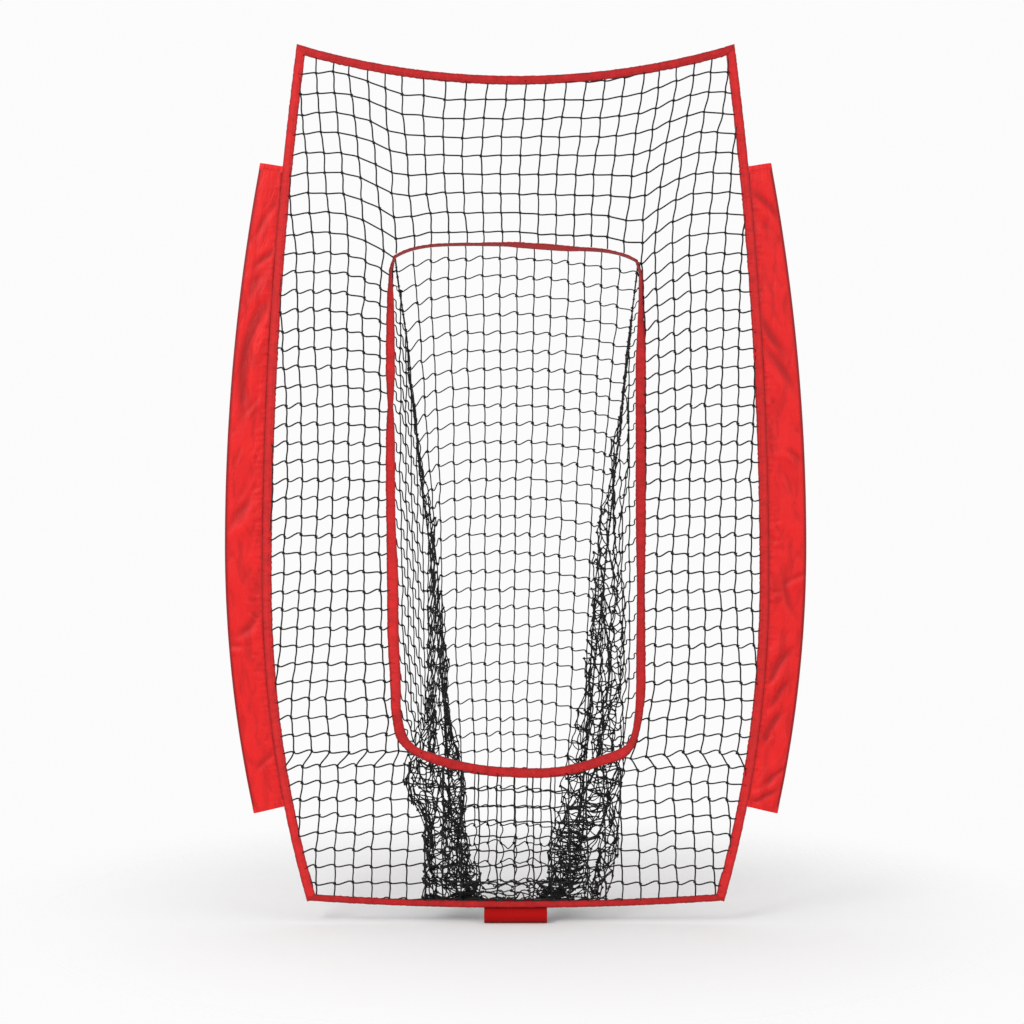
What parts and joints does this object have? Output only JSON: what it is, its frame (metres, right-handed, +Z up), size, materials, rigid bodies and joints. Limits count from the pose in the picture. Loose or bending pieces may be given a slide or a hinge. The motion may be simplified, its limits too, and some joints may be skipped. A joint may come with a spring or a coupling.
{
  "type": "pitching target net",
  "caption": "Bow-sided pitching target net with pole sleeves, a framed mouth, a catch pocket behind it, corner loops and a wrap-round base strap.",
  "frame": {"origin": "on the axis of the base tube that the strap wraps, in the middle of the strap", "axes": "+X to the right along the base tube, +Y to the back where the pocket hangs, +Z up"},
  "size_m": [1.442, 0.3199, 2.1779],
  "materials": {
    "black_twine": "matte twisted twine",
    "lacing_cord": "matte braided cord",
    "red_tape": "ribbed polyester tape",
    "red_cloth": "coated oxford cloth, slight sheen",
    "red_webbing": "ribbed webbing",
    "black_webbing": "woven webbing",
    "elastic_cord": "braided elastic cord",
    "hook_tape": "matte hooks",
    "loop_tape": "napped loops"
  },
  "bodies": {
    "net": {"top_net": "black_twine", "left_net": "black_twine", "right_net": "black_twine", "bottom_net": "black_twine", "top_binding": "red_tape", "bottom_binding": "red_tape", "left_binding": "red_tape", "right_binding": "red_tape", "mouth_top_binding": "red_tape", "mouth_bottom_binding": "red_tape", "mouth_left_binding": "red_tape", "mouth_right_binding": "red_tape", "left_sleeve": "red_cloth", "right_sleeve": "red_cloth", "pocket_left_gusset": "black_twine", "pocket_right_gusset": "black_twine", "pocket_floor_net": "black_twine", "top_left_pole_pocket": "black_webbing", "top_right_pole_pocket": "black_webbing", "loop_tabs": "red_tape", "base_strap": "red_webbing", "strap_hook_patch": "hook_tape"},
    "pocket": {"pocket_back_net": "black_twine", "pocket_left_lacing": "lacing_cord", "pocket_right_lacing": "lacing_cord"},
    "flap": {"strap_flap": "red_webbing", "strap_loop_patch": "loop_tape"},
    "left_corner_loop": {"bottom_left_loop": "elastic_cord"},
    "right_corner_loop": {"bottom_right_loop": "elastic_cord"}
  },
  "joints": [
    {"name": "pocket_billow", "type": "slide", "parent": "net", "child": "pocket", "axis": [0, 1, 0], "range_m": [0, 0.12], "stiffness_N_per_m": 30},
    {"name": "strap_flap_hinge", "type": "hinge", "parent": "net", "child": "flap", "pos_m": [0, 0.00415, -0.01741], "axis": [-1, 0, 0], "range_deg": [0, 160]},
    {"name": "left_loop_swing", "type": "hinge", "parent": "net", "child": "left_corner_loop", "pos_m": [-0.51341, 0.0065, 0.064], "axis": [-0.9641, 0, -0.2656], "range_deg": [0, 175]},
    {"name": "right_loop_swing", "type": "hinge", "parent": "net", "child": "right_corner_loop", "pos_m": [0.51341, 0.0065, 0.064], "axis": [-0.9641, 0, 0.2656], "range_deg": [0, 175]}
  ]
}
